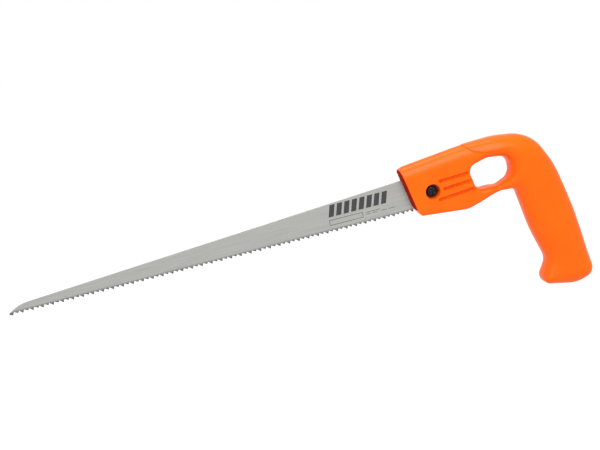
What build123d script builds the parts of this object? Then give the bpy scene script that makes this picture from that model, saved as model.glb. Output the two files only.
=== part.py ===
from build123d import *
import os

# Pistol-grip compass saw. Millimetres, +Z up, blade in the XZ plane, Y across the blade.
# Everything is drawn in saw coordinates: X = 0 at the handle's mouth, tip towards -X,
# Z = 0 on the line of tooth points. `place` then moves it to the row's own frame, whose
# origin is the middle of the saw's box in X and Y, at the level of the butt's lowest point.

# ---- blade ----
blade_length = 300.0           # from the mouth to the tip: a 12 inch blade
blade_thickness = 1.0
tooth_pitch = 25.4 / 7         # 7 teeth to the inch
tooth_depth = 2.1
tooth_lean = 0.72              # how far along its pitch a tooth's point stands
short_tooth_drop = 0.5         # how much shorter every other tooth is
back_height_tip = 7.0          # height of the blade's back where the tip starts to round off
back_height_mouth = 25.3
tip_rounding_length = 15.0     # stretch of the back that turns down to the tip
tip_arc_middle = (4.8, 5.5)    # a point on that stretch: distance from the tip, height
tip_height = 2.2               # height of the small upright end at the very tip

# ---- tang: the part of the blade inside the handle ----
tang_length = 34.0
tang_bottom = 3.0
tang_corner = 4.0
tang_notch_width = 5.6         # open-ended notch that straddles the clamp screw

# ---- handle outline: corner X, corner Z, rounding radius ----
handle_outline = [
    (-4.6, 31.9, 0.8),         # top front corner of the nose
    (-1.3, 34.8, 3.0),
    (42.3, 39.5, 80.0),        # along the top of the nose to the arm
    (70.8, 40.4, 70.0),
    (97.6, 36.9, 28.0),        # bend at the web of the hand
    (111.2, 10.0, 70.0),
    (120.3, -26.6, 300.0),     # back of the grip
    (126.7, -79.0, 8.5),       # rear corner of the butt
    (111.5, -83.9, 24.0),
    (87.3, -78.7, 5.5),
    (86.3, -72.5, 6.0),        # flare at the front of the butt
    (92.7, -60.8, 12.0),
    (84.8, -35.5, 90.0),       # front of the grip
    (78.7, -1.3, 5.0),         # corner under the arm
    (64.7, 0.0, 30.0),
    (50.8, -4.2, 14.0),
    (40.0, -7.1, 18.0),        # underside of the nose
    (4.5, -4.1, 2.0),
    (0.9, 3.1, 1.0),
]
handle_bottom = -83.08         # level of the butt's lowest point
handle_rear = 125.91           # X of the butt's rearmost point
nose_half = 8.5                # half thickness of the flat-sided nose
grip_half = 13.0               # half thickness of the grip
swell_start = 42.0             # X where the nose starts to thicken towards the grip
swell_end = 84.0
outer_rounding = 3.5           # rounding of the handle's long edges

# ---- finger hole outline: corner X, corner Z, rounding radius ----
finger_hole = [
    (45.7, 22.3, 7.0),
    (61.2, 26.2, 14.0),
    (77.6, 24.2, 8.0),
    (77.4, 9.6, 7.5),
    (64.9, 5.0, 12.0),
    (48.8, 4.9, 6.0),
]
finger_hole_rounding = 2.0     # rounding of the hole's two rims

# ---- clamp: M5 screw, flat washer and hexagon nut on one axis through the nose ----
clamp_x = 15.9
clamp_z = 12.4
clearance_hole_radius = 2.75
counterbore_radius = 5.5
seat_half = 2.2                # distance from the blade's plane to the washer's and nut's seats
washer_radius = 4.8
washer_bore_radius = 2.65
washer_thickness = 0.8
screw_radius = 2.4
screw_length = 10.0
screw_head_radius = 4.0
screw_head_height = 2.3
cross_width = 1.1
cross_span = 5.0
cross_depth = 1.5
nut_across_flats = 8.0
nut_thickness = 4.0
nut_bore_radius = 2.45
nut_pocket_gap = 0.1

# ---- slot for the tang, and the grooves moulded in each cheek ----
slot_half = 0.6
slot_gap = 0.3
groove_depth = 2.0
groove_half_width = 0.7
grooves = [                    # from (X, Z) to (X, Z); each runs out into the finger hole
    ((22.4, 18.8), (47.5, 19.9)),
    ((24.9, 12.4), (49.0, 14.0)),
    ((19.8, 5.4), (51.0, 7.9)),
]

tip_x = -blade_length
row_x = (tip_x + handle_rear) / 2


def place(shape):
    """Move a shape from saw coordinates to the row's frame."""
    return Pos(-row_x, 0, -handle_bottom) * shape


def upright(face, half):
    """Extrude a face drawn in X and Z by `half` to each side of the blade's plane."""
    return extrude(Plane.XZ * face, amount=half, both=True)


def rounded_face(corners):
    """Closed outline of straight runs with a tangent arc at each corner."""
    points = [(x, z) for x, z, _ in corners]
    radii = [radius for _, _, radius in corners]
    return make_face(FilletPolyline(*points, radius=radii, close=True))


def along_clamp(radius, near, far):
    """Cylinder on the clamp axis from Y = near to Y = far."""
    base = Plane(origin=(clamp_x, near, clamp_z), x_dir=(1, 0, 0), z_dir=(0, 1, 0))
    return extrude(base * Circle(radius), amount=far - near)


def hexagon_on_clamp(across_flats, near, far):
    """Hexagonal prism on the clamp axis from Y = near to Y = far."""
    base = Plane(origin=(clamp_x, near, clamp_z), x_dir=(1, 0, 0), z_dir=(0, 1, 0))
    return extrude(base * RegularPolygon(across_flats / 2, 6, major_radius=False), amount=far - near)


def blade_outline():
    """Side outline of blade and tang, with a raked tooth for every pitch."""
    teeth = int((blade_length + 2) / tooth_pitch)
    line = [(tip_x, tip_height), (tip_x, 0.5)]
    for tooth in range(teeth):
        start = tip_x + tooth * tooth_pitch
        point_height = short_tooth_drop * (tooth % 2)
        line.append((start + tooth_lean * tooth_pitch, point_height))
        line.append((start + tooth_pitch, tooth_depth))
    line[-1] = (tip_x + teeth * tooth_pitch - 0.3, tang_bottom)
    line.append((tang_length, tang_bottom))
    line.append((tang_length, back_height_mouth))
    line.append((0.0, back_height_mouth))
    line.append((tip_x + tip_rounding_length, back_height_tip))
    straight_runs = Polyline(*line)
    tip = ThreePointArc(line[-1], (tip_x + tip_arc_middle[0], tip_arc_middle[1]), line[0])
    return make_face(straight_runs + tip)


def tang_notch(gap):
    """Open-ended notch in the tang: a round end on the clamp axis, open towards the grip."""
    half = tang_notch_width / 2 + gap
    length = tang_length - clamp_x + 1
    straight = Pos(clamp_x + length / 2, clamp_z) * Rectangle(length, 2 * half)
    return straight + Pos(clamp_x, clamp_z) * Circle(half)


def make_blade():
    face = blade_outline() - tang_notch(0)
    body = upright(face, blade_thickness / 2)
    rear = [edge for edge in body.edges().filter_by(Axis.Y)
            if edge.center().X > tang_length - 0.1
            and (edge.center().Z < tang_bottom + 0.1 or edge.center().Z > back_height_mouth - 0.1)]
    return fillet(rear, tang_corner)


def handle_thickness():
    """Plan-view block: thin flat nose, swelling smoothly to the grip."""
    front, rear = -20.0, handle_rear + 10
    half = Polyline((front, 0), (front, nose_half), (swell_start, nose_half))
    swell = Spline((swell_start, nose_half), (swell_end, grip_half), tangents=[(1, 0), (1, 0)])
    back = Polyline((swell_end, grip_half), (rear, grip_half), (rear, 0), (front, 0))
    side = extrude(make_face(half + swell + back), amount=300)
    other = mirror(side, Plane.XZ)
    return Pos(0, 0, -150) * (side + other)


def tang_slot():
    """Pocket for the tang, open at the front of the nose."""
    front = -20.0
    length = tang_length + slot_gap - front
    height = back_height_mouth - tang_bottom + 2 * slot_gap
    middle_z = (back_height_mouth + tang_bottom) / 2
    return upright(Pos(front + length / 2, middle_z) * Rectangle(length, height), slot_half)


def groove(start, end, side):
    """One half-round-ended groove cut into the cheek at Y = side * nose_half."""
    direction = Vector(end[0] - start[0], end[1] - start[1])
    angle = Vector(1, 0).get_signed_angle(direction)
    middle = ((start[0] + end[0]) / 2, (start[1] + end[1]) / 2)
    outline = Pos(*middle) * Rot(0, 0, angle) * SlotOverall(direction.length, 2 * groove_half_width)
    cutter = upright(outline, groove_depth)
    return Pos(0, side * nose_half, 0) * cutter


def long_edges(body):
    """Edges that run round the outline of both cheeks, leaving the front of the nose sharp."""
    found = []
    for edge in body.edges():
        on_cheek = all(abs(point.Y) > nose_half - 0.01 for point in (edge @ 0, edge @ 0.5, edge @ 1))
        across_cheek = abs((edge @ 0).X - (edge @ 1).X) < 1e-6 and abs((edge @ 0).Z - (edge @ 1).Z) > 20
        if on_cheek and not across_cheek and edge.center().X > 0:
            found.append(edge)
    return found


def hole_rims(body):
    """Edges of both cheeks that run round the finger hole."""
    low_x = min(x for x, _, _ in finger_hole)
    high_x = max(x for x, _, _ in finger_hole)
    low_z = min(z for _, z, _ in finger_hole)
    high_z = max(z for _, z, _ in finger_hole)
    found = []
    for edge in body.edges():
        middle = edge.center()
        in_hole = low_x < middle.X < high_x and low_z < middle.Z < high_z
        on_cheek = all(abs(point.Y) > nose_half - 0.01 for point in (edge @ 0, edge @ 0.5, edge @ 1))
        if in_hole and on_cheek:
            found.append(edge)
    return found


def make_handle():
    body = upright(rounded_face(handle_outline), grip_half + 5) & handle_thickness()
    body = fillet(long_edges(body), outer_rounding)
    body -= upright(rounded_face(finger_hole), grip_half + 5)
    body = fillet(hole_rims(body), finger_hole_rounding)
    body -= tang_slot()
    body -= along_clamp(clearance_hole_radius, -seat_half - 1, seat_half + 1)
    body -= along_clamp(counterbore_radius, -nose_half - 1, -seat_half)
    body -= hexagon_on_clamp(nut_across_flats + 2 * nut_pocket_gap, seat_half, nose_half + 1)
    for side in (-1, 1):
        for start, end in grooves:
            body -= groove(start, end, side)
    return body


def make_clamp_screw():
    """Pan-head screw: head towards -Y, cross recess in its top, shank across the blade."""
    under_head = -seat_half - washer_thickness
    head_top = under_head - screw_head_height
    head = along_clamp(screw_head_radius, head_top, under_head)
    head = fillet(head.edges().filter_by(GeomType.CIRCLE).sort_by(Axis.Y)[0], 1.6)
    shank = along_clamp(screw_radius, under_head, under_head + screw_length)
    shank = chamfer(shank.edges().filter_by(GeomType.CIRCLE).sort_by(Axis.Y)[-1], 0.6)
    recess_y = head_top + cross_depth / 2
    wide = Pos(clamp_x, recess_y, clamp_z) * Box(cross_span, cross_depth, cross_width)
    tall = Pos(clamp_x, recess_y, clamp_z) * Box(cross_width, cross_depth, cross_span)
    return head + shank - wide - tall


def make_washer():
    ring = along_clamp(washer_radius, -seat_half - washer_thickness, -seat_half)
    return ring - along_clamp(washer_bore_radius, -seat_half - 2, -seat_half + 1)


def make_nut():
    """Hexagon nut with its corners chamfered on the outer face."""
    prism = hexagon_on_clamp(nut_across_flats, seat_half, seat_half + nut_thickness)
    corner_radius = nut_across_flats / 2 * 1.1547
    blank = along_clamp(corner_radius, seat_half, seat_half + nut_thickness)
    blank = chamfer(blank.edges().filter_by(GeomType.CIRCLE).sort_by(Axis.Y)[-1], 0.5)
    return (prism & blank) - along_clamp(nut_bore_radius, seat_half - 1, seat_half + nut_thickness + 1)


nodes = {
    "blade": make_blade(),
    "handle": make_handle(),
    "clamp_screw": make_clamp_screw(),
    "screw_washer": make_washer(),
    "clamp_nut": make_nut(),
}

os.makedirs("parts", exist_ok=True)
for name, shape in nodes.items():
    export_step(place(shape), f"parts/{name}.step")
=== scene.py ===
"""Looks of the pistol-grip compass saw, built around its CAD frame.

Shapes are drawn in saw coordinates, in millimetres: X = 0 at the handle's mouth with the tip
towards -X, Y = 0 in the blade's middle plane, Z = 0 on the line of tooth points.
"""
import math

import bpy
import numpy as np
from mathutils import Matrix, Vector


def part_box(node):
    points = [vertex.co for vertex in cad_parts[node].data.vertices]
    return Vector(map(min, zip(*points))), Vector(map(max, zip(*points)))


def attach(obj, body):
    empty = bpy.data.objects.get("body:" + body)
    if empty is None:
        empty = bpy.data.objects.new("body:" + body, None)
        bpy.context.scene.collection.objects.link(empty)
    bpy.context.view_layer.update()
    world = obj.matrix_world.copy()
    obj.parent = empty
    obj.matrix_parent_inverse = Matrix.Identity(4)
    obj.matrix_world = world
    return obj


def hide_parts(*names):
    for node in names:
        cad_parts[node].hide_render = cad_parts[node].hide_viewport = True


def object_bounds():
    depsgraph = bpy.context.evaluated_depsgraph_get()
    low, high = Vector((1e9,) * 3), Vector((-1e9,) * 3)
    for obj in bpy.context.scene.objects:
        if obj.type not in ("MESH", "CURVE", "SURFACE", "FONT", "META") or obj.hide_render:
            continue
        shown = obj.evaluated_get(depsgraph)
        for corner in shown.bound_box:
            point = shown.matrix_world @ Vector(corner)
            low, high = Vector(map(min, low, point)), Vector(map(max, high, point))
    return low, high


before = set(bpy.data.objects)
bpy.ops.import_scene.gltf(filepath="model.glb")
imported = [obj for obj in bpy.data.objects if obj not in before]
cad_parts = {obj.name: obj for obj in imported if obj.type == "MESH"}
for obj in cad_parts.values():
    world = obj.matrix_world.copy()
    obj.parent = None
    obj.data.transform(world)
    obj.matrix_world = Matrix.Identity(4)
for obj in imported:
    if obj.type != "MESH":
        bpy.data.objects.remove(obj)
cad_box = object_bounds()

MM = 0.001

# ---- sizes shared with the CAD part, in millimetres ----
BLADE_LENGTH = 300.0
BLADE_HALF = 0.5
TOOTH_PITCH = 25.4 / 7
TOOTH_DEPTH = 2.1
TOOTH_LEAN = 0.72
SHORT_TOOTH_DROP = 0.5         # how much shorter every other tooth is
LAST_ROOT_SETBACK = 0.3        # the last root stops this far short, clear of the handle
BACK_HEIGHT_TIP = 7.0
BACK_HEIGHT_MOUTH = 25.3
TIP_ROUNDING_LENGTH = 15.0
TIP_ROUNDING_POWER = 2.2
TIP_HEIGHT = 2.2
TANG_LENGTH = 34.0
TANG_BOTTOM = 3.0
NOSE_HALF = 8.5
SEAT_HALF = 2.2
COUNTERBORE_RADIUS = 5.5
CLEARANCE_RADIUS = 2.75
NUT_ACROSS_FLATS = 8.0
SLOT_HALF = 0.6
SLOT_GAP = 0.3

# Saw coordinates start at the mouth, one blade length from the tip.
blade_low, blade_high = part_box("blade")
ORIGIN = Vector((blade_low.x + BLADE_LENGTH * MM, 0.0, blade_low.z))
screw_low, screw_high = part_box("clamp_screw")
CLAMP_X = ((screw_low.x + screw_high.x) / 2 - ORIGIN.x) / MM
CLAMP_Z = ((screw_low.z + screw_high.z) / 2 - ORIGIN.z) / MM


def to_row(points):
    """Saw coordinates in millimetres to the row's frame in metres."""
    return np.asarray(points, float) * MM + np.array(ORIGIN)


def add_mesh(name, points, faces):
    """New object from points in saw coordinates."""
    mesh = bpy.data.meshes.new(name)
    mesh.from_pydata([tuple(p) for p in to_row(points)], [], [tuple(f) for f in faces])
    mesh.validate()
    mesh.update()
    piece = bpy.data.objects.new(name, mesh)
    bpy.context.scene.collection.objects.link(piece)
    return piece


def face_outwards(piece):
    """Turn every face of a closed piece outwards."""
    bpy.context.view_layer.objects.active = piece
    bpy.ops.object.mode_set(mode="EDIT")
    bpy.ops.mesh.select_all(action="SELECT")
    bpy.ops.mesh.normals_make_consistent(inside=False)
    bpy.ops.object.mode_set(mode="OBJECT")


# ================================ handle ================================

# Outline: corner X, corner Z, rounding radius. The nose runs on past its front, which
# the front planes below cut off.
HANDLE_OUTLINE = [
    (-30.0, 31.7, 1.0),
    (42.3, 39.5, 80.0),
    (70.8, 40.4, 70.0),
    (97.6, 36.9, 28.0),
    (111.2, 10.0, 70.0),
    (120.3, -26.6, 300.0),
    (126.7, -79.0, 8.5),
    (111.5, -83.9, 24.0),
    (87.3, -78.7, 5.5),
    (86.3, -72.5, 6.0),
    (92.7, -60.8, 12.0),
    (84.8, -35.5, 90.0),
    (78.7, -1.3, 5.0),
    (64.7, 0.0, 30.0),
    (50.8, -4.2, 14.0),
    (40.0, -7.1, 18.0),
    (-30.0, 0.0, 1.0),
]
# Front of the nose from below upwards: lower chamfer, front and small upper chamfer.
FRONT_LINE = [(5.0, -4.1), (1.6, 2.4), (-4.6, 31.9), (-1.3, 34.8)]
FRONT_CROWN = 1.2              # the front stands this much further out beside the blade
RIB_PITCH = 2.8                # fine ribs moulded across the front face
RIB_HEIGHT = 0.16
FINGER_HOLE = [
    (45.7, 22.3, 7.0),
    (61.2, 26.2, 14.0),
    (77.6, 24.2, 8.0),
    (77.4, 9.6, 7.5),
    (64.9, 5.0, 12.0),
    (48.8, 4.9, 6.0),
]
GROOVES = [                    # start X, Z and end X, Z
    ((22.4, 18.8), (47.5, 19.9)),
    ((24.9, 12.4), (49.0, 14.0)),
    ((19.8, 5.4), (51.0, 7.9)),
]
GROOVE_HALF_WIDTH = 1.1        # wider than the CAD groove's 0.7
GROOVE_DEPTH = 2.2             # and deeper than its 2.0
RIM_FLARE = 0.45               # flare of the counterbore's rim
NUT_CLEARANCE = 0.1
NUT_RIM_FLARE = 0.4
GRID_STEP = 0.6
GRIP_HALF = 13.0
FRONT_ROUNDING = 0.9
STYLE_STEP = 0.9               # how far the arm stands proud of the nose at the style line
SECTION_POWER = 2.1


def rounded_outline(corners, turn=math.radians(4)):
    """Points along a closed outline of straight runs with a tangent arc at each corner."""
    points = []
    count = len(corners)
    for i, (x, z, radius) in enumerate(corners):
        here = np.array((x, z))
        before = np.array(corners[i - 1][:2]) - here
        after = np.array(corners[(i + 1) % count][:2]) - here
        before /= np.linalg.norm(before)
        after /= np.linalg.norm(after)
        half_angle = math.acos(np.clip(before @ after, -1, 1)) / 2
        middle = before + after
        centre = here + middle / np.linalg.norm(middle) * radius / math.sin(half_angle)
        start = here + before * radius / math.tan(half_angle) - centre
        end = here + after * radius / math.tan(half_angle) - centre
        first = math.atan2(start[1], start[0])
        sweep = (math.atan2(end[1], end[0]) - first + math.pi) % (2 * math.pi) - math.pi
        steps = max(2, math.ceil(abs(sweep) / turn))
        for k in range(steps + 1):
            angle = first + sweep * k / steps
            points.append(centre + radius * np.array((math.cos(angle), math.sin(angle))))
    return np.array(points)


def distance_inside(points, outline):
    """Distance to a closed outline, positive inside, and its gradient."""
    start = outline
    run = np.roll(outline, -1, axis=0) - outline
    length2 = np.maximum((run ** 2).sum(1), 1e-12)
    distance = np.empty(len(points))
    gradient = np.empty((len(points), 2))
    chunk = 20000
    for low in range(0, len(points), chunk):
        p = points[low:low + chunk, None, :]
        t = np.clip(((p - start) * run).sum(2) / length2, 0, 1)
        away = p - (start + run * t[..., None])
        size = np.sqrt((away ** 2).sum(2))
        nearest = size.argmin(1)
        row = np.arange(len(nearest))
        above = start[:, 1] > p[..., 1]
        next_above = np.roll(start[:, 1], -1) > p[..., 1]
        rise = np.where(run[:, 1] == 0, 1e-12, run[:, 1])
        crossing_x = start[:, 0] + run[:, 0] * (p[..., 1] - start[:, 1]) / rise
        inside = ((above != next_above) & (p[..., 0] < crossing_x)).sum(1) % 2 == 1
        sign = np.where(inside, 1.0, -1.0)
        distance[low:low + chunk] = sign * size[row, nearest]
        reach = np.maximum(size[row, nearest], 1e-9)
        gradient[low:low + chunk] = away[row, nearest] / reach[:, None] * sign[:, None]
    return distance, gradient


def ease(t):
    """Smooth step from 0 to 1."""
    t = np.clip(t, 0, 1)
    return t * t * (3 - 2 * t)


def soft_max(a, b, radius):
    """Larger of two distances, with the corner between them rounded."""
    return np.maximum(a, b) + np.maximum(radius - np.abs(a - b), 0) ** 2 / (4 * radius)


def front_distance(x, z):
    """Distance in front of the nose's front: negative inside the handle."""
    result = None
    for (x0, z0), (x1, z1) in zip(FRONT_LINE, FRONT_LINE[1:]):
        ahead = ((x1 - x0) * (z - z0) - (z1 - z0) * (x - x0)) / math.hypot(x1 - x0, z1 - z0)
        result = ahead if result is None else soft_max(result, ahead, 0.4)
    return result


def style_line(x):
    """Height of the line where the rounder arm meets the flat-sided nose."""
    return 30.3 + 9.3 * np.exp(-(x - 45.6) / 7.0)


def handle_field(x, y, z, edge, hole):
    """Roughly the distance outside the handle's surface; edge and hole are the distances
    inside the outer outline and outside the finger hole."""
    grip = ease((x - 44.0) / 40.0)
    butt = ease((-58.0 - z) / 16.0)
    upper = ease((z - 12.0) / 12.0)
    step_up = ease((z - style_line(x)) / 1.1 + 0.5)
    proud = STYLE_STEP * step_up * (1 - ease((x - 58.0) / 30.0)) * (x > 40.0)
    half = NOSE_HALF + (GRIP_HALF - NOSE_HALF) * grip + 0.9 * proud
    inset = (2.8 + 8.2 * upper) * (1 - grip) + 15.0 * grip - 4.0 * butt
    round_y = (2.8 + 5.6 * upper) * (1 - grip) + 11.5 * grip - 1.5 * butt
    hole_inset = 3.6 + 5.6 * grip
    u = np.maximum(inset - edge - 0.4 * proud, 0) / inset
    u_hole = np.maximum(hole_inset - hole, 0) / hole_inset
    v = np.maximum(np.abs(y) - (half - round_y), 0) / round_y
    norm = (u ** SECTION_POWER + u_hole ** SECTION_POWER + v ** SECTION_POWER) ** (1 / SECTION_POWER)
    body = (norm - 1) * np.minimum(round_y, inset)
    crown = FRONT_CROWN * (1 - np.abs(y) / NOSE_HALF) * ease((z + 1.0) / 6.0)
    ribs = RIB_HEIGHT * np.sin(2 * math.pi * z / RIB_PITCH)
    return soft_max(body, front_distance(x + crown, z) + ribs, FRONT_ROUNDING)


def surface_net(field, low, step):
    """Closed quad mesh of the zero level of a field on a grid, one point per crossed cell."""
    inside = field < 0
    cells = tuple(n - 1 for n in field.shape)
    total = np.zeros(cells + (3,))
    count = np.zeros(cells)
    for axis in range(3):
        others = [a for a in range(3) if a != axis]
        for da in (0, 1):
            for db in (0, 1):
                first = [slice(0, n) for n in cells]
                first[others[0]] = slice(da, cells[others[0]] + da)
                first[others[1]] = slice(db, cells[others[1]] + db)
                second = list(first)
                second[axis] = slice(1, cells[axis] + 1)
                f0 = field[tuple(first)]
                f1 = field[tuple(second)]
                crossed = (f0 < 0) != (f1 < 0)
                share = np.where(crossed, f0 / np.where(crossed, f0 - f1, 1.0), 0.0)
                total[..., axis] += share
                total[..., others[0]] += da * crossed
                total[..., others[1]] += db * crossed
                count += crossed
    active = count > 0
    index = -np.ones(cells, int)
    index[active] = np.arange(active.sum())
    where = np.argwhere(active)
    points = (where + total[active] / count[active][:, None]) * step + np.array(low)
    quads = []
    for axis in range(3):
        b, c = [(1, 2), (2, 0), (0, 1)][axis]
        near = [slice(None)] * 3
        far = [slice(None)] * 3
        near[axis] = slice(0, cells[axis])
        far[axis] = slice(1, cells[axis] + 1)
        near[b] = far[b] = slice(1, cells[b])
        near[c] = far[c] = slice(1, cells[c])
        crossed = inside[tuple(near)] != inside[tuple(far)]
        leaving = inside[tuple(near)][crossed]
        base = np.argwhere(crossed)
        corner = []
        for db, dc in ((0, 0), (1, 0), (1, 1), (0, 1)):
            cell = base.copy()
            cell[:, b] += db
            cell[:, c] += dc
            corner.append(index[cell[:, 0], cell[:, 1], cell[:, 2]])
        quad = np.stack(corner, 1)
        quad[~leaving] = quad[~leaving][:, ::-1]
        quads.append(quad)
    return points, np.concatenate(quads)


def settle_on_surface(points, outer, hole_outline):
    """Moves net points onto the exact zero level by Newton steps."""
    nudge = 0.01
    for _ in range(3):
        flat = points[:, [0, 2]]
        edge, edge_grad = distance_inside(flat, outer)
        hole, hole_grad = distance_inside(flat, hole_outline)
        x, y, z = points.T
        value = handle_field(x, y, z, edge, -hole)
        next_edge = edge[:, None] + nudge * edge_grad
        next_hole = -hole[:, None] - nudge * hole_grad
        slope = np.empty_like(points)
        slope[:, 0] = handle_field(x + nudge, y, z, next_edge[:, 0], next_hole[:, 0])
        slope[:, 1] = handle_field(x, y + nudge, z, edge, -hole)
        slope[:, 2] = handle_field(x, y, z + nudge, next_edge[:, 1], next_hole[:, 1])
        slope = (slope - value[:, None]) / nudge
        step = value[:, None] * slope / np.maximum((slope ** 2).sum(1), 0.05)[:, None]
        points = points - np.clip(step, -0.3, 0.3)
    return points


def lathe(profile, segments=96):
    """Closed solid of revolution about the clamp axis from (radius, Y) pairs, ends closed."""
    points = []
    faces = []
    for radius, y in profile:
        for k in range(segments):
            angle = 2 * math.pi * k / segments
            points.append((CLAMP_X + radius * math.cos(angle), y, CLAMP_Z + radius * math.sin(angle)))
    rings = len(profile)
    for r in range(rings - 1):
        for k in range(segments):
            n = (k + 1) % segments
            here = r * segments
            above = here + segments
            faces.append((here + k, here + n, above + n, above + k))
    faces.append(tuple(range(segments))[::-1])
    faces.append(tuple((rings - 1) * segments + k for k in range(segments)))
    return points, faces


def box(low, high):
    """Box from corner to corner."""
    points = [(x, y, z)
              for x in (low[0], high[0])
              for y in (low[1], high[1])
              for z in (low[2], high[2])]
    faces = [(0, 1, 3, 2), (4, 6, 7, 5), (0, 4, 5, 1), (2, 3, 7, 6), (0, 2, 6, 4), (1, 5, 7, 3)]
    return points, faces


def groove_cutter(start, end, side):
    """Round-ended bar, a little narrower at its floor, that cuts a groove into a cheek."""
    along = np.array((end[0] - start[0], end[1] - start[1]))
    turn = math.atan2(along[1], along[0])
    arc_steps = 8
    levels = [(side * (NOSE_HALF + 4.5), 1.15), (side * NOSE_HALF, 1.15),
              (side * (NOSE_HALF - 0.25), 1.0), (side * (NOSE_HALF - GROOVE_DEPTH), 0.9)]
    points = []
    for y, share in levels:
        radius = GROOVE_HALF_WIDTH * share
        for centre, first in ((start, turn + math.pi / 2), (end, turn - math.pi / 2)):
            for k in range(arc_steps + 1):
                angle = first + math.pi * k / arc_steps
                points.append((centre[0] + radius * math.cos(angle), y,
                               centre[1] + radius * math.sin(angle)))
    ring = 2 * (arc_steps + 1)
    faces = [tuple(range(ring)), tuple(range(3 * ring, 4 * ring))[::-1]]
    for level in range(3):
        for k in range(ring):
            n = (k + 1) % ring
            low = level * ring
            faces.append((low + k, low + n, low + ring + n, low + ring + k))
    return points, faces


def add_cutter(name, solids):
    """One object from several closed solids, with outward normals."""
    points = []
    faces = []
    for solid_points, solid_faces in solids:
        offset = len(points)
        points += [tuple(p) for p in solid_points]
        faces += [tuple(i + offset for i in f) for f in solid_faces]
    cutter = add_mesh(name, points, faces)
    face_outwards(cutter)
    return cutter


def cut(piece, cutter, use_self=False):
    """Takes the cutter out of the piece, then deletes the cutter."""
    modifier = piece.modifiers.new("cut", "BOOLEAN")
    modifier.operation = "DIFFERENCE"
    modifier.solver = "EXACT"
    modifier.use_self = use_self
    modifier.object = cutter
    graph = bpy.context.evaluated_depsgraph_get()
    mesh = bpy.data.meshes.new_from_object(piece.evaluated_get(graph))
    piece.modifiers.clear()
    piece.data = mesh
    bpy.data.objects.remove(cutter)


def counterbore():
    """Cutter for the screw's counterbore, its flared rim and the through hole."""
    rim = RIM_FLARE
    return lathe([
        (COUNTERBORE_RADIUS + rim + 1.0, -NOSE_HALF - 1.0),
        (COUNTERBORE_RADIUS + rim, -NOSE_HALF),
        (COUNTERBORE_RADIUS + rim * 0.35, -NOSE_HALF + rim * 0.45),
        (COUNTERBORE_RADIUS, -NOSE_HALF + rim * 1.2),
        (COUNTERBORE_RADIUS - 0.15, -SEAT_HALF),
        (CLEARANCE_RADIUS, -SEAT_HALF),
        (CLEARANCE_RADIUS, SEAT_HALF + 0.5),
    ])


def nut_pocket():
    """Cutter for the hexagonal pocket in the far cheek, with a flared rim."""
    corner = (NUT_ACROSS_FLATS / 2 + NUT_CLEARANCE) / math.cos(math.pi / 6)
    return lathe([
        (corner, SEAT_HALF),
        (corner, NOSE_HALF - NUT_RIM_FLARE),
        (corner + NUT_RIM_FLARE, NOSE_HALF),
        (corner + NUT_RIM_FLARE + 1.0, NOSE_HALF + 1.0),
    ], segments=6)


def make_handle():
    """Handle moulding: the smooth body with the slot, clamp holes and grooves cut out."""
    outer = rounded_outline(HANDLE_OUTLINE)
    hole_outline = rounded_outline(FINGER_HOLE)
    low = np.array((-8.0, -15.0, -86.0))
    high = np.array((130.0, 15.0, 43.0))
    x, y, z = [np.arange(low[a], high[a] + GRID_STEP, GRID_STEP) for a in range(3)]
    plan = np.stack(np.meshgrid(x, z, indexing="ij"), -1).reshape(-1, 2)
    edge = distance_inside(plan, outer)[0].reshape(len(x), 1, len(z))
    hole = -distance_inside(plan, hole_outline)[0].reshape(len(x), 1, len(z))
    field = handle_field(x[:, None, None], y[None, :, None], z[None, None, :], edge, hole)
    points, quads = surface_net(field, low, GRID_STEP)
    points = settle_on_surface(points, outer, hole_outline)
    handle = add_mesh("handle_moulding", points, quads)
    slot = box((-20, -SLOT_HALF, TANG_BOTTOM - SLOT_GAP),
               (TANG_LENGTH + SLOT_GAP, SLOT_HALF, BACK_HEIGHT_MOUTH + SLOT_GAP))
    cut(handle, add_cutter("slot_cutter", [slot]))
    cut(handle, add_cutter("clamp_cutter", [counterbore(), nut_pocket()]), use_self=True)
    bars = [groove_cutter(start, end, side) for start, end in GROOVES for side in (-1, 1)]
    cut(handle, add_cutter("groove_cutter", bars))
    handle.data.shade_smooth()
    handle.data.set_sharp_from_angle(angle=math.radians(32))
    return handle


# ================================ blade ================================

TOOTH_SET = 0.28               # how far each tooth leans out of the blade's plane
TOOTH_BEVEL = 1.0              # height of the bevel ground on one face of each tooth
EDGE_BEVEL = 0.12              # small bevel along the blade's back
TEETH = int((BLADE_LENGTH + 2) / TOOTH_PITCH)


def back_line(x):
    """Height of the blade's back, rounding off to the tip."""
    run = BLADE_LENGTH - TIP_ROUNDING_LENGTH
    straight = BACK_HEIGHT_MOUTH + (BACK_HEIGHT_MOUTH - BACK_HEIGHT_TIP) * np.minimum(x, 0) / run
    from_tip = np.clip((x + BLADE_LENGTH) / TIP_ROUNDING_LENGTH, 0, 1)
    drop = (BACK_HEIGHT_TIP - TIP_HEIGHT) * (1 - from_tip) ** TIP_ROUNDING_POWER
    return straight - drop


def tooth_root(count):
    """X of the root after so many teeth; the last one runs up into the tang."""
    return -BLADE_LENGTH + count * TOOTH_PITCH - (LAST_ROOT_SETBACK if count == TEETH else 0.0)


def blade_columns():
    """X, lowest and highest Z of each upright cut through the blade, from tip to tang end."""
    columns = []
    tip_stretch = [-BLADE_LENGTH + share * TIP_ROUNDING_LENGTH for share in (0.06, 0.14, 0.35, 0.6)]
    for x in sorted([tooth_root(k) for k in range(TEETH + 1)] + tip_stretch):
        low = 1.0 if x == -BLADE_LENGTH else TOOTH_DEPTH
        if x == tooth_root(TEETH):
            low = TANG_BOTTOM
        columns.append((x, low, float(back_line(x))))
    for back_from_end, cut_corner in ((4.0, 0.0), (1.2, 1.2), (0.0, 4.0)):
        columns.append((TANG_LENGTH - back_from_end, TANG_BOTTOM + cut_corner,
                        BACK_HEIGHT_MOUTH - cut_corner))
    return columns


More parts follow.
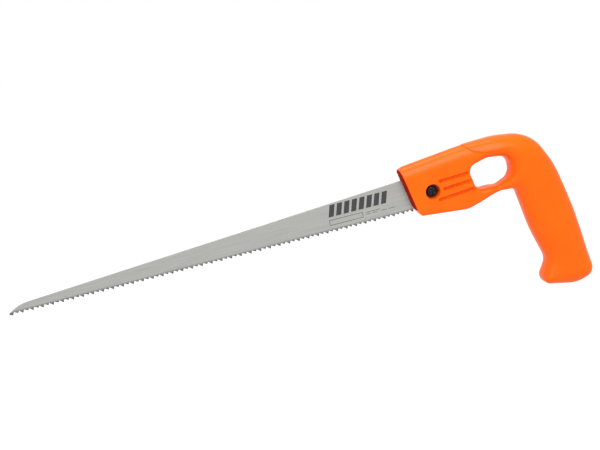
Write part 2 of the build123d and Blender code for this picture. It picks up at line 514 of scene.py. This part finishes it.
def tooth_points(left, right, tooth):
    """Two lowest points of one tooth: its sharp point on one side, its bevel's foot on the other."""
    side = -1 if tooth % 2 == 0 else 1
    drop = 0.0 if tooth % 2 == 0 else SHORT_TOOTH_DROP
    point_x = left + TOOTH_LEAN * (right - left)
    foot_x = point_x - 0.3 * (right - left)
    point = (point_x, side * (BLADE_HALF + TOOTH_SET), drop)
    foot = (foot_x, side * (TOOTH_SET - BLADE_HALF), TOOTH_BEVEL + drop / 2)
    return (point, foot) if side < 0 else (foot, point)


def make_blade():
    """Closed blade of upright columns, with alternately set and bevelled teeth.

    Its tang is solid. The CAD tang's open-ended notch round the clamp screw is missing here.
    """
    points = []
    faces = []
    rings = []
    for x, low, top in blade_columns():
        first = len(points)
        points += [
            (x, -BLADE_HALF, low),
            (x, -BLADE_HALF, top - EDGE_BEVEL),
            (x, -BLADE_HALF + EDGE_BEVEL, top),
            (x, BLADE_HALF - EDGE_BEVEL, top),
            (x, BLADE_HALF, top - EDGE_BEVEL),
            (x, BLADE_HALF, low),
        ]
        rings.append([first + k for k in range(6)])
    for a, b in zip(rings, rings[1:]):
        for k in range(5):
            faces.append((a[k], b[k], b[k + 1], a[k + 1]))
    faces.append(tuple(rings[0]))
    faces.append(tuple(reversed(rings[-1])))
    # Teeth hang from the runs of columns between one root and the next.
    start = 0
    for tooth in range(TEETH):
        root = tooth_root(tooth + 1)
        end = start + 1
        while points[rings[end][0]][0] < root - 0.001:
            end += 1
        near = [ring[0] for ring in rings[start:end + 1]]
        far = [ring[5] for ring in rings[start:end + 1]]
        near_low = len(points)
        far_low = near_low + 1
        points += tooth_points(points[near[0]][0], root, tooth)
        faces.append(tuple(near) + (near_low,))
        faces.append(tuple(far[::-1]) + (far_low,))
        faces.append((near[0], near_low, far_low, far[0]))
        faces.append((near_low, near[-1], far[-1], far_low))
        start = end
    for a, b in zip(rings[start:], rings[start + 1:]):
        faces.append((b[0], a[0], a[5], b[5]))
    blade = add_mesh("saw_blade", points, faces)
    face_outwards(blade)
    return blade


# ================================ print on the blade ================================

PRINT_DEPTH = 0.04             # the ink stands this far proud of the blade's face
STRIPE_COUNT = 8
STRIPE_PITCH = 5.7
STRIPE_WIDTH = 3.9
STRIPE_SLANT = 2.6
STRIPE_LOW = 11.6
STRIPE_HIGH = 20.4
STRIPE_START = -62.3
FRAME_CORNERS = (-62.4, 5.4, -37.0, 9.4)     # X, Z of the lower left and upper right
FRAME_LINE = 0.32
DASH_START = -34.5
DASH_HEIGHT = 0.32


def add_print(name, outlines):
    """Thin closed prisms on the near face of the blade, from outlines of X and Z."""
    points = []
    faces = []
    for outline in outlines:
        first = len(points)
        count = len(outline)
        for y in (-BLADE_HALF + PRINT_DEPTH, -BLADE_HALF - PRINT_DEPTH):
            points += [(x, y, z) for x, z in outline]
        faces.append(tuple(first + k for k in range(count)))
        faces.append(tuple(first + count + k for k in range(count))[::-1])
        for k in range(count):
            n = (k + 1) % count
            faces.append((first + k, first + n, first + count + n, first + count + k))
    ink = add_mesh(name, points, faces)
    face_outwards(ink)
    return ink


def bar(x0, z0, x1, z1, slant=0.0):
    """Outline of a bar whose top is pushed along by its slant."""
    return [(x0, z0), (x1, z0), (x1 + slant, z1), (x0 + slant, z1)]


def slanted_stripes():
    """Row of bold slanted stripes."""
    stripes = []
    for k in range(STRIPE_COUNT):
        x = STRIPE_START + k * STRIPE_PITCH
        stripes.append(bar(x, STRIPE_LOW, x + STRIPE_WIDTH, STRIPE_HIGH, STRIPE_SLANT))
    return stripes


def open_frame(x0, z0, x1, z1, line):
    """Four thin bars round an empty rectangle, each ending where the next begins."""
    return [
        bar(x0, z0, x1 - line, z0 + line),
        bar(x1 - line, z0, x1, z1 - line),
        bar(x0 + line, z1 - line, x1, z1),
        bar(x0, z0 + line, x0 + line, z1),
    ]


def fine_dashes():
    """Two hairlines broken into dashes."""
    dashes = []
    rows = ((8.3, (DASH_START, -31.0, -27.4)), (6.9, (DASH_START, -29.6, -22.8, -17.2)))
    for z, starts in rows:
        for x in starts:
            length = 3.0 + (x - DASH_START) * 0.08
            dashes.append(bar(x, z, x + length, z + DASH_HEIGHT))
    return dashes


# ================================ materials ================================

def new_material(name):
    """New material with its nodes, links and shader."""
    material = bpy.data.materials.new(name)
    material.use_nodes = True
    nodes = material.node_tree.nodes
    return material, nodes, material.node_tree.links, nodes["Principled BSDF"]


# How far the nose's front leans towards the tip for its height, and where that line meets Z = 0.
FRONT_LEAN = (FRONT_LINE[1][0] - FRONT_LINE[2][0]) / (FRONT_LINE[2][1] - FRONT_LINE[1][1])
FRONT_FOOT = FRONT_LINE[1][0] + FRONT_LEAN * FRONT_LINE[1][1]


def orange_plastic():
    material, nodes, links, shader = new_material("handle_plastic")
    place = nodes.new("ShaderNodeTexCoord")
    mottle = nodes.new("ShaderNodeTexNoise")
    mottle.inputs["Scale"].default_value = 60.0
    mottle.inputs["Detail"].default_value = 3.0
    links.new(place.outputs["Object"], mottle.inputs["Vector"])
    ramp = nodes.new("ShaderNodeValToRGB")
    ramp.color_ramp.elements[0].position = 0.3
    ramp.color_ramp.elements[0].color = (0.76, 0.094, 0.0, 1)
    ramp.color_ramp.elements[1].position = 0.7
    ramp.color_ramp.elements[1].color = (0.80, 0.102, 0.0, 1)
    links.new(mottle.outputs["Fac"], ramp.inputs["Fac"])
    # The nose's front face is a deeper red, painted shade for the shadow it lies in, set by its
    # distance from the front's plane.
    parts = nodes.new("ShaderNodeSeparateXYZ")
    links.new(place.outputs["Object"], parts.inputs["Vector"])
    lean = nodes.new("ShaderNodeMath")
    lean.operation = "MULTIPLY_ADD"
    lean.inputs[1].default_value = FRONT_LEAN
    links.new(parts.outputs["Z"], lean.inputs[0])
    links.new(parts.outputs["X"], lean.inputs[2])
    front = nodes.new("ShaderNodeMapRange")
    front_plane = ORIGIN.x + FRONT_LEAN * ORIGIN.z + FRONT_FOOT * MM
    front.inputs["From Min"].default_value = front_plane + 0.05 * MM
    front.inputs["From Max"].default_value = front_plane + 0.40 * MM
    front.inputs["To Min"].default_value = 1.0
    front.inputs["To Max"].default_value = 0.0
    links.new(lean.outputs["Value"], front.inputs["Value"])
    mix = nodes.new("ShaderNodeMix")
    mix.data_type = "RGBA"
    links.new(front.outputs["Result"], mix.inputs["Factor"])
    links.new(ramp.outputs["Color"], mix.inputs[6])
    # Painted shade: a deep red that stands in for the shadow on the nose's front face.
    mix.inputs[7].default_value = (0.26, 0.008, 0.0, 1)
    links.new(mix.outputs[2], shader.inputs["Base Color"])
    grain = nodes.new("ShaderNodeTexNoise")
    grain.inputs["Scale"].default_value = 2600.0
    grain.inputs["Detail"].default_value = 2.0
    links.new(place.outputs["Object"], grain.inputs["Vector"])
    bump = nodes.new("ShaderNodeBump")
    bump.inputs["Strength"].default_value = 0.06
    bump.inputs["Distance"].default_value = 0.0002
    links.new(grain.outputs["Fac"], bump.inputs["Height"])
    links.new(bump.outputs["Normal"], shader.inputs["Normal"])
    # Its ribs also scatter the sheen that the smooth cheeks have.
    dull = nodes.new("ShaderNodeMath")
    dull.operation = "MULTIPLY_ADD"
    dull.inputs[1].default_value = 0.7
    dull.inputs[2].default_value = 0.3
    links.new(front.outputs["Result"], dull.inputs[0])
    links.new(dull.outputs["Value"], shader.inputs["Roughness"])
    shader.inputs["Specular IOR Level"].default_value = 0.13
    return material


def blade_steel():
    material, nodes, links, shader = new_material("blade_steel")
    place = nodes.new("ShaderNodeTexCoord")
    stretch = nodes.new("ShaderNodeMapping")
    stretch.inputs["Scale"].default_value = (30.0, 2000.0, 2000.0)
    links.new(place.outputs["Object"], stretch.inputs["Vector"])
    brushing = nodes.new("ShaderNodeTexNoise")
    brushing.inputs["Scale"].default_value = 1.0
    brushing.inputs["Detail"].default_value = 4.0
    links.new(stretch.outputs["Vector"], brushing.inputs["Vector"])
    tone = nodes.new("ShaderNodeValToRGB")
    tone.color_ramp.elements[0].position = 0.25
    tone.color_ramp.elements[0].color = (0.32, 0.32, 0.307, 1)
    tone.color_ramp.elements[1].position = 0.75
    tone.color_ramp.elements[1].color = (0.41, 0.41, 0.395, 1)
    links.new(brushing.outputs["Fac"], tone.inputs["Fac"])
    # Hardened tooth points: a dark heat tint that fades out just above the teeth.
    parts = nodes.new("ShaderNodeSeparateXYZ")
    links.new(place.outputs["Object"], parts.inputs["Vector"])
    fade = nodes.new("ShaderNodeMapRange")
    fade.inputs["From Min"].default_value = ORIGIN.z + 1.2 * MM
    fade.inputs["From Max"].default_value = ORIGIN.z + 3.2 * MM
    fade.inputs["To Min"].default_value = 1.0
    fade.inputs["To Max"].default_value = 0.0
    links.new(parts.outputs["Z"], fade.inputs["Value"])
    mix = nodes.new("ShaderNodeMix")
    mix.data_type = "RGBA"
    links.new(fade.outputs["Result"], mix.inputs["Factor"])
    links.new(tone.outputs["Color"], mix.inputs[6])
    mix.inputs[7].default_value = (0.10, 0.097, 0.09, 1)
    links.new(mix.outputs[2], shader.inputs["Base Color"])
    bump = nodes.new("ShaderNodeBump")
    bump.inputs["Strength"].default_value = 0.12
    bump.inputs["Distance"].default_value = 0.00005
    links.new(brushing.outputs["Fac"], bump.inputs["Height"])
    links.new(bump.outputs["Normal"], shader.inputs["Normal"])
    shader.inputs["Metallic"].default_value = 0.85
    shader.inputs["Roughness"].default_value = 0.42
    return material


def dark_print():
    material, nodes, links, shader = new_material("print_ink")
    place = nodes.new("ShaderNodeTexCoord")
    wear = nodes.new("ShaderNodeTexNoise")
    wear.inputs["Scale"].default_value = 900.0
    links.new(place.outputs["Object"], wear.inputs["Vector"])
    ramp = nodes.new("ShaderNodeValToRGB")
    ramp.color_ramp.elements[0].color = (0.012, 0.012, 0.013, 1)
    ramp.color_ramp.elements[1].color = (0.03, 0.03, 0.032, 1)
    links.new(wear.outputs["Fac"], ramp.inputs["Fac"])
    links.new(ramp.outputs["Color"], shader.inputs["Base Color"])
    shader.inputs["Roughness"].default_value = 0.5
    return material


def black_oxide():
    material, nodes, links, shader = new_material("black_steel")
    place = nodes.new("ShaderNodeTexCoord")
    blotch = nodes.new("ShaderNodeTexNoise")
    blotch.inputs["Scale"].default_value = 500.0
    blotch.inputs["Detail"].default_value = 4.0
    links.new(place.outputs["Object"], blotch.inputs["Vector"])
    ramp = nodes.new("ShaderNodeValToRGB")
    ramp.color_ramp.elements[0].position = 0.35
    ramp.color_ramp.elements[0].color = (0.006, 0.004, 0.007, 1)
    ramp.color_ramp.elements[1].position = 0.7
    ramp.color_ramp.elements[1].color = (0.016, 0.012, 0.017, 1)
    links.new(blotch.outputs["Fac"], ramp.inputs["Fac"])
    links.new(ramp.outputs["Color"], shader.inputs["Base Color"])
    shader.inputs["Metallic"].default_value = 0.7
    shader.inputs["Roughness"].default_value = 0.3
    shader.inputs["Coat Weight"].default_value = 0.25
    shader.inputs["Coat Roughness"].default_value = 0.1
    return material


def zinc_plate():
    material, nodes, links, shader = new_material("zinc_steel")
    place = nodes.new("ShaderNodeTexCoord")
    spangle = nodes.new("ShaderNodeTexVoronoi")
    spangle.inputs["Scale"].default_value = 700.0
    links.new(place.outputs["Object"], spangle.inputs["Vector"])
    ramp = nodes.new("ShaderNodeValToRGB")
    ramp.color_ramp.elements[0].color = (0.42, 0.42, 0.44, 1)
    ramp.color_ramp.elements[1].color = (0.62, 0.62, 0.63, 1)
    links.new(spangle.outputs["Distance"], ramp.inputs["Fac"])
    links.new(ramp.outputs["Color"], shader.inputs["Base Color"])
    shader.inputs["Metallic"].default_value = 1.0
    shader.inputs["Roughness"].default_value = 0.3
    return material


def dress(piece, material):
    """Gives a piece its one material."""
    piece.data.materials.clear()
    piece.data.materials.append(material)


# ================================ build ================================

plastic = orange_plastic()
steel = blade_steel()
black = black_oxide()
zinc = zinc_plate()
ink = dark_print()

handle = make_handle()
dress(handle, plastic)
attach(handle, "handle")
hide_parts("handle")

blade = make_blade()
dress(blade, steel)
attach(blade, "blade")
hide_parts("blade")

for name, outlines in (("print_stripes", slanted_stripes()),
                       ("print_frame", open_frame(*FRAME_CORNERS, FRAME_LINE)),
                       ("print_dashes", fine_dashes())):
    mark = add_print(name, outlines)
    dress(mark, ink)
    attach(mark, "blade")

for node, material in (("clamp_screw", black), ("screw_washer", black), ("clamp_nut", zinc)):
    dress(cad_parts[node], material)


# ================================ camera, floor, light ================================

SENSOR_WIDTH = 36.0
IMAGE_WIDTH = 600.0
FOCAL_PIXELS = 1239.8          # focal length on a 600-wide image
CAMERA_TARGET = (-83.9, 0.0, 11.5)
CAMERA_DISTANCE = 900.0
CAMERA_AZIMUTH = math.radians(-7.0)
CAMERA_ELEVATION = math.radians(12.0)
CAMERA_ROLL = math.radians(-12.96)
FLOOR_HALF_SIZE = 6.0          # metres, as are the floor's gap and the lights below
FLOOR_GAP = 0.04
SOFTBOXES = [                  # name, place, aim, width, height, watts
    ("key_softbox", (0.23, -0.68, 0.68), (0.12, 0, 0.10), 0.46, 0.52, 6.2),
    ("overhead_softbox", (0.12, 0.05, 1.0), (0.12, 0, 0.10), 0.50, 0.30, 4.0),
    ("left_softbox", (-0.45, -0.50, 0.42), (0.10, 0, 0.09), 0.25, 0.25, 1.0),
]


def add_camera():
    back = Vector((math.sin(CAMERA_AZIMUTH) * math.cos(CAMERA_ELEVATION),
                   -math.cos(CAMERA_AZIMUTH) * math.cos(CAMERA_ELEVATION),
                   math.sin(CAMERA_ELEVATION)))
    level_right = (-back).cross(Vector((0, 0, 1))).normalized()
    level_up = back.cross(level_right)
    right = level_right * math.cos(CAMERA_ROLL) + level_up * math.sin(CAMERA_ROLL)
    up = level_up * math.cos(CAMERA_ROLL) - level_right * math.sin(CAMERA_ROLL)
    data = bpy.data.cameras.new("camera")
    data.sensor_width = SENSOR_WIDTH
    data.lens = FOCAL_PIXELS * SENSOR_WIDTH / IMAGE_WIDTH
    camera = bpy.data.objects.new("camera", data)
    bpy.context.scene.collection.objects.link(camera)
    place = Vector(to_row(CAMERA_TARGET)) + back * CAMERA_DISTANCE * MM
    camera.matrix_world = Matrix((
        (right.x, up.x, back.x, place.x),
        (right.y, up.y, back.y, place.y),
        (right.z, up.z, back.z, place.z),
        (0, 0, 0, 1),
    ))
    bpy.context.scene.camera = camera


def add_floor():
    """Plain pale floor below the saw, bright enough to match the world behind it."""
    size = FLOOR_HALF_SIZE
    corners = [(-size, -size, 0), (size, -size, 0), (size, size, 0), (-size, size, 0)]
    mesh = bpy.data.meshes.new("floor")
    mesh.from_pydata(corners, [], [(0, 1, 2, 3)])
    floor = bpy.data.objects.new("floor", mesh)
    floor.location = (0, 0, cad_box[0][2] - FLOOR_GAP)
    bpy.context.scene.collection.objects.link(floor)
    material, _, _, shader = new_material("floor")
    shader.inputs["Base Color"].default_value = (0.05, 0.05, 0.05, 1)
    shader.inputs["Roughness"].default_value = 0.9
    shader.inputs["Specular IOR Level"].default_value = 0.0
    shader.inputs["Emission Color"].default_value = (1, 1, 1, 1)
    shader.inputs["Emission Strength"].default_value = 1.0
    floor.data.materials.append(material)


def add_light(name, place, aim, size, size_y, power):
    data = bpy.data.lights.new(name, "AREA")
    data.shape = "RECTANGLE"
    data.size = size
    data.size_y = size_y
    data.energy = power
    light = bpy.data.objects.new(name, data)
    light.location = place
    light.rotation_euler = (Vector(aim) - Vector(place)).to_track_quat("-Z", "Y").to_euler()
    bpy.context.scene.collection.objects.link(light)


def add_world():
    world = bpy.data.worlds.new("studio")
    world.use_nodes = True
    background = world.node_tree.nodes["Background"]
    background.inputs["Color"].default_value = (1, 1, 1, 1)
    background.inputs["Strength"].default_value = 1.0
    bpy.context.scene.world = world


add_camera()
add_floor()
add_world()
for softbox in SOFTBOXES:
    add_light(*softbox)
bpy.context.scene.view_settings.view_transform = "Standard"
